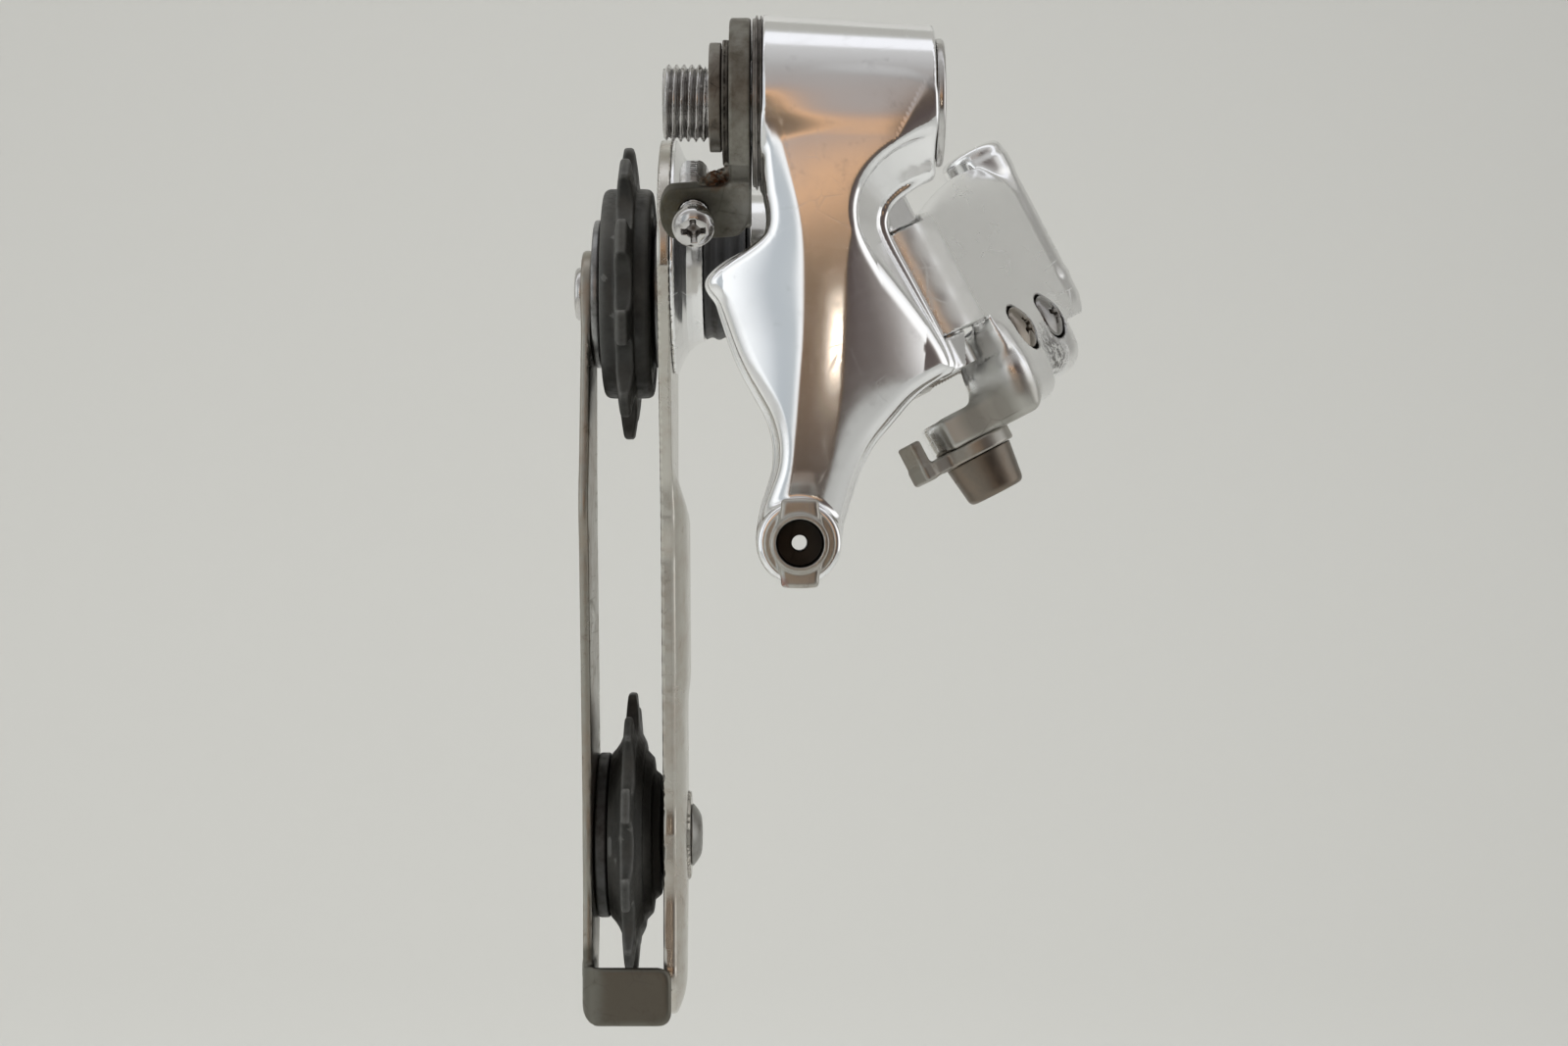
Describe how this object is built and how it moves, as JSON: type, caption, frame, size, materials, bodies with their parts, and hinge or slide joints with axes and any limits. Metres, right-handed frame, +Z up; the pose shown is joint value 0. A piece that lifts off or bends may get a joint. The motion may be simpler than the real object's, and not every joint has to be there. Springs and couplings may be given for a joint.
{
  "type": "rear bicycle derailleur",
  "caption": "Rear bicycle derailleur: slant parallelogram, long sprung cage with toothed pulleys, limit screws, cable anchor and barrel adjuster on a hanger bolt.",
  "frame": {"origin": "on the hanger bolt's axis, at the face that meets the frame's derailleur hanger", "axes": "+X outboard along the hanger bolt, +Y to the front of the bicycle, +Z up"},
  "size_m": [0.0746, 0.1013, 0.1404],
  "materials": {
    "polished_aluminium": "mirror polished, light scratches",
    "satin_aluminium": "satin, worn, brown staining at the edges",
    "bright_steel": "plated, lightly scratched",
    "grimy_steel": "dull plated steel with grease and rust",
    "spring_steel": "oiled",
    "anchor_steel": "brushed, bronze tint",
    "bronze": "sintered, oiled",
    "cap_steel": "satin, greasy",
    "black_plastic": "moulded, satin",
    "pulley_plastic": "moulded, worn and greasy"
  },
  "bodies": {
    "mount": {"hanger_bolt": "bright_steel", "hanger_retaining_ring": "grimy_steel", "hanger_washer": "grimy_steel", "b_tension_plate": "grimy_steel"},
    "b_screw": {"b_adjust_screw": "bright_steel"},
    "upper_body": {"upper_body": "polished_aluminium", "b_pivot_bush": "bronze", "b_pivot_spring": "spring_steel", "b_dust_cover": "black_plastic", "rear_outer_pin": "bright_steel", "rear_inner_pin": "bright_steel", "adjuster_spring": "spring_steel"},
    "adjuster": {"barrel_adjuster": "satin_aluminium"},
    "outer_link": {"outer_link": "polished_aluminium", "front_outer_pin": "bright_steel", "link_return_spring": "spring_steel"},
    "high_screw": {"high_limit_screw": "bright_steel"},
    "low_screw": {"low_limit_screw": "bright_steel"},
    "cable_clamp": {"cable_anchor_bolt": "anchor_steel", "cable_anchor_washer": "anchor_steel"},
    "inner_link": {"inner_link": "satin_aluminium"},
    "lower_knuckle": {"lower_knuckle": "polished_aluminium", "front_inner_pin": "bright_steel", "cage_pivot_seal": "black_plastic", "cage_pivot_bush": "bronze", "cage_pivot_spring": "spring_steel", "knuckle_end_cap": "polished_aluminium"},
    "cage": {"cage_hub": "polished_aluminium", "cage_pivot_axle": "bright_steel", "cage_pivot_clip": "spring_steel", "cage_stop_pin": "bright_steel", "outer_cage_plate": "satin_aluminium", "inner_cage_plate": "satin_aluminium", "guide_pulley_bolt": "bright_steel", "tension_pulley_bolt": "bright_steel", "guide_pulley_sleeve": "bronze", "tension_pulley_sleeve": "bronze", "guide_pulley_caps": "cap_steel", "tension_pulley_caps": "cap_steel"},
    "guide_pulley": {"guide_pulley": "pulley_plastic"},
    "tension_pulley": {"tension_pulley": "pulley_plastic"}
  },
  "joints": [
    {"name": "b_pivot", "type": "hinge", "parent": "mount", "child": "upper_body", "pos_m": [0.018, 0, 0], "axis": [1, 0, 0], "range_deg": [-40, 12], "deforming": ["b_pivot_spring"]},
    {"name": "b_screw_travel", "type": "slide", "parent": "mount", "child": "b_screw", "axis": [-0.0262, 0.866, 0.4993], "range_m": [-0.003, 0.0029]},
    {"name": "adjuster_travel", "type": "slide", "parent": "upper_body", "child": "adjuster", "axis": [0, -1, 0], "range_m": [-0.0015, 0.005], "deforming": ["adjuster_spring"]},
    {"name": "outer_link_swing", "type": "hinge", "parent": "upper_body", "child": "outer_link", "pos_m": [0.02803, 0.005, -0.02352], "axis": [-0.4617, 0, 0.887], "range_deg": [0, 62], "deforming": ["link_return_spring"]},
    {"name": "high_screw_travel", "type": "slide", "parent": "outer_link", "child": "high_screw", "axis": [0.7896, -0.4555, 0.4111], "range_m": [0, 0.003]},
    {"name": "low_screw_travel", "type": "slide", "parent": "outer_link", "child": "low_screw", "axis": [0.7896, -0.4555, 0.4111], "range_m": [0, 0.003]},
    {"name": "cable_clamp_travel", "type": "slide", "parent": "outer_link", "child": "cable_clamp", "axis": [0.4617, 0, -0.887], "range_m": [0, 0.0015]},
    {"name": "inner_link_swing", "type": "hinge", "parent": "upper_body", "child": "inner_link", "pos_m": [0.00899, 0.005, -0.03027], "axis": [-0.4617, 0, 0.887], "range_deg": [0, 62]},
    {"name": "knuckle_swing", "type": "hinge", "parent": "outer_link", "child": "lower_knuckle", "pos_m": [0.0429, 0.04061, -0.01262], "axis": [-0.4617, 0, 0.887], "range_deg": [-62, 0]},
    {"name": "cage_pivot", "type": "hinge", "parent": "lower_knuckle", "child": "cage", "pos_m": [0.005, 0.0395, -0.0162], "axis": [1, 0, 0], "range_deg": [0, 110], "deforming": ["cage_pivot_spring"]},
    {"name": "guide_pulley_spin", "type": "hinge", "parent": "cage", "child": "guide_pulley", "pos_m": [-0.01325, 0.0476, -0.0208], "axis": [1, 0, 0], "continuous": true},
    {"name": "tension_pulley_spin", "type": "hinge", "parent": "cage", "child": "tension_pulley", "pos_m": [-0.01325, 0.0564, -0.1024], "axis": [1, 0, 0], "continuous": true}
  ],
  "couplings": [
    {"joint": "inner_link_swing", "follows": "outer_link_swing", "ratio": 1},
    {"joint": "knuckle_swing", "follows": "outer_link_swing", "ratio": -1}
  ]
}
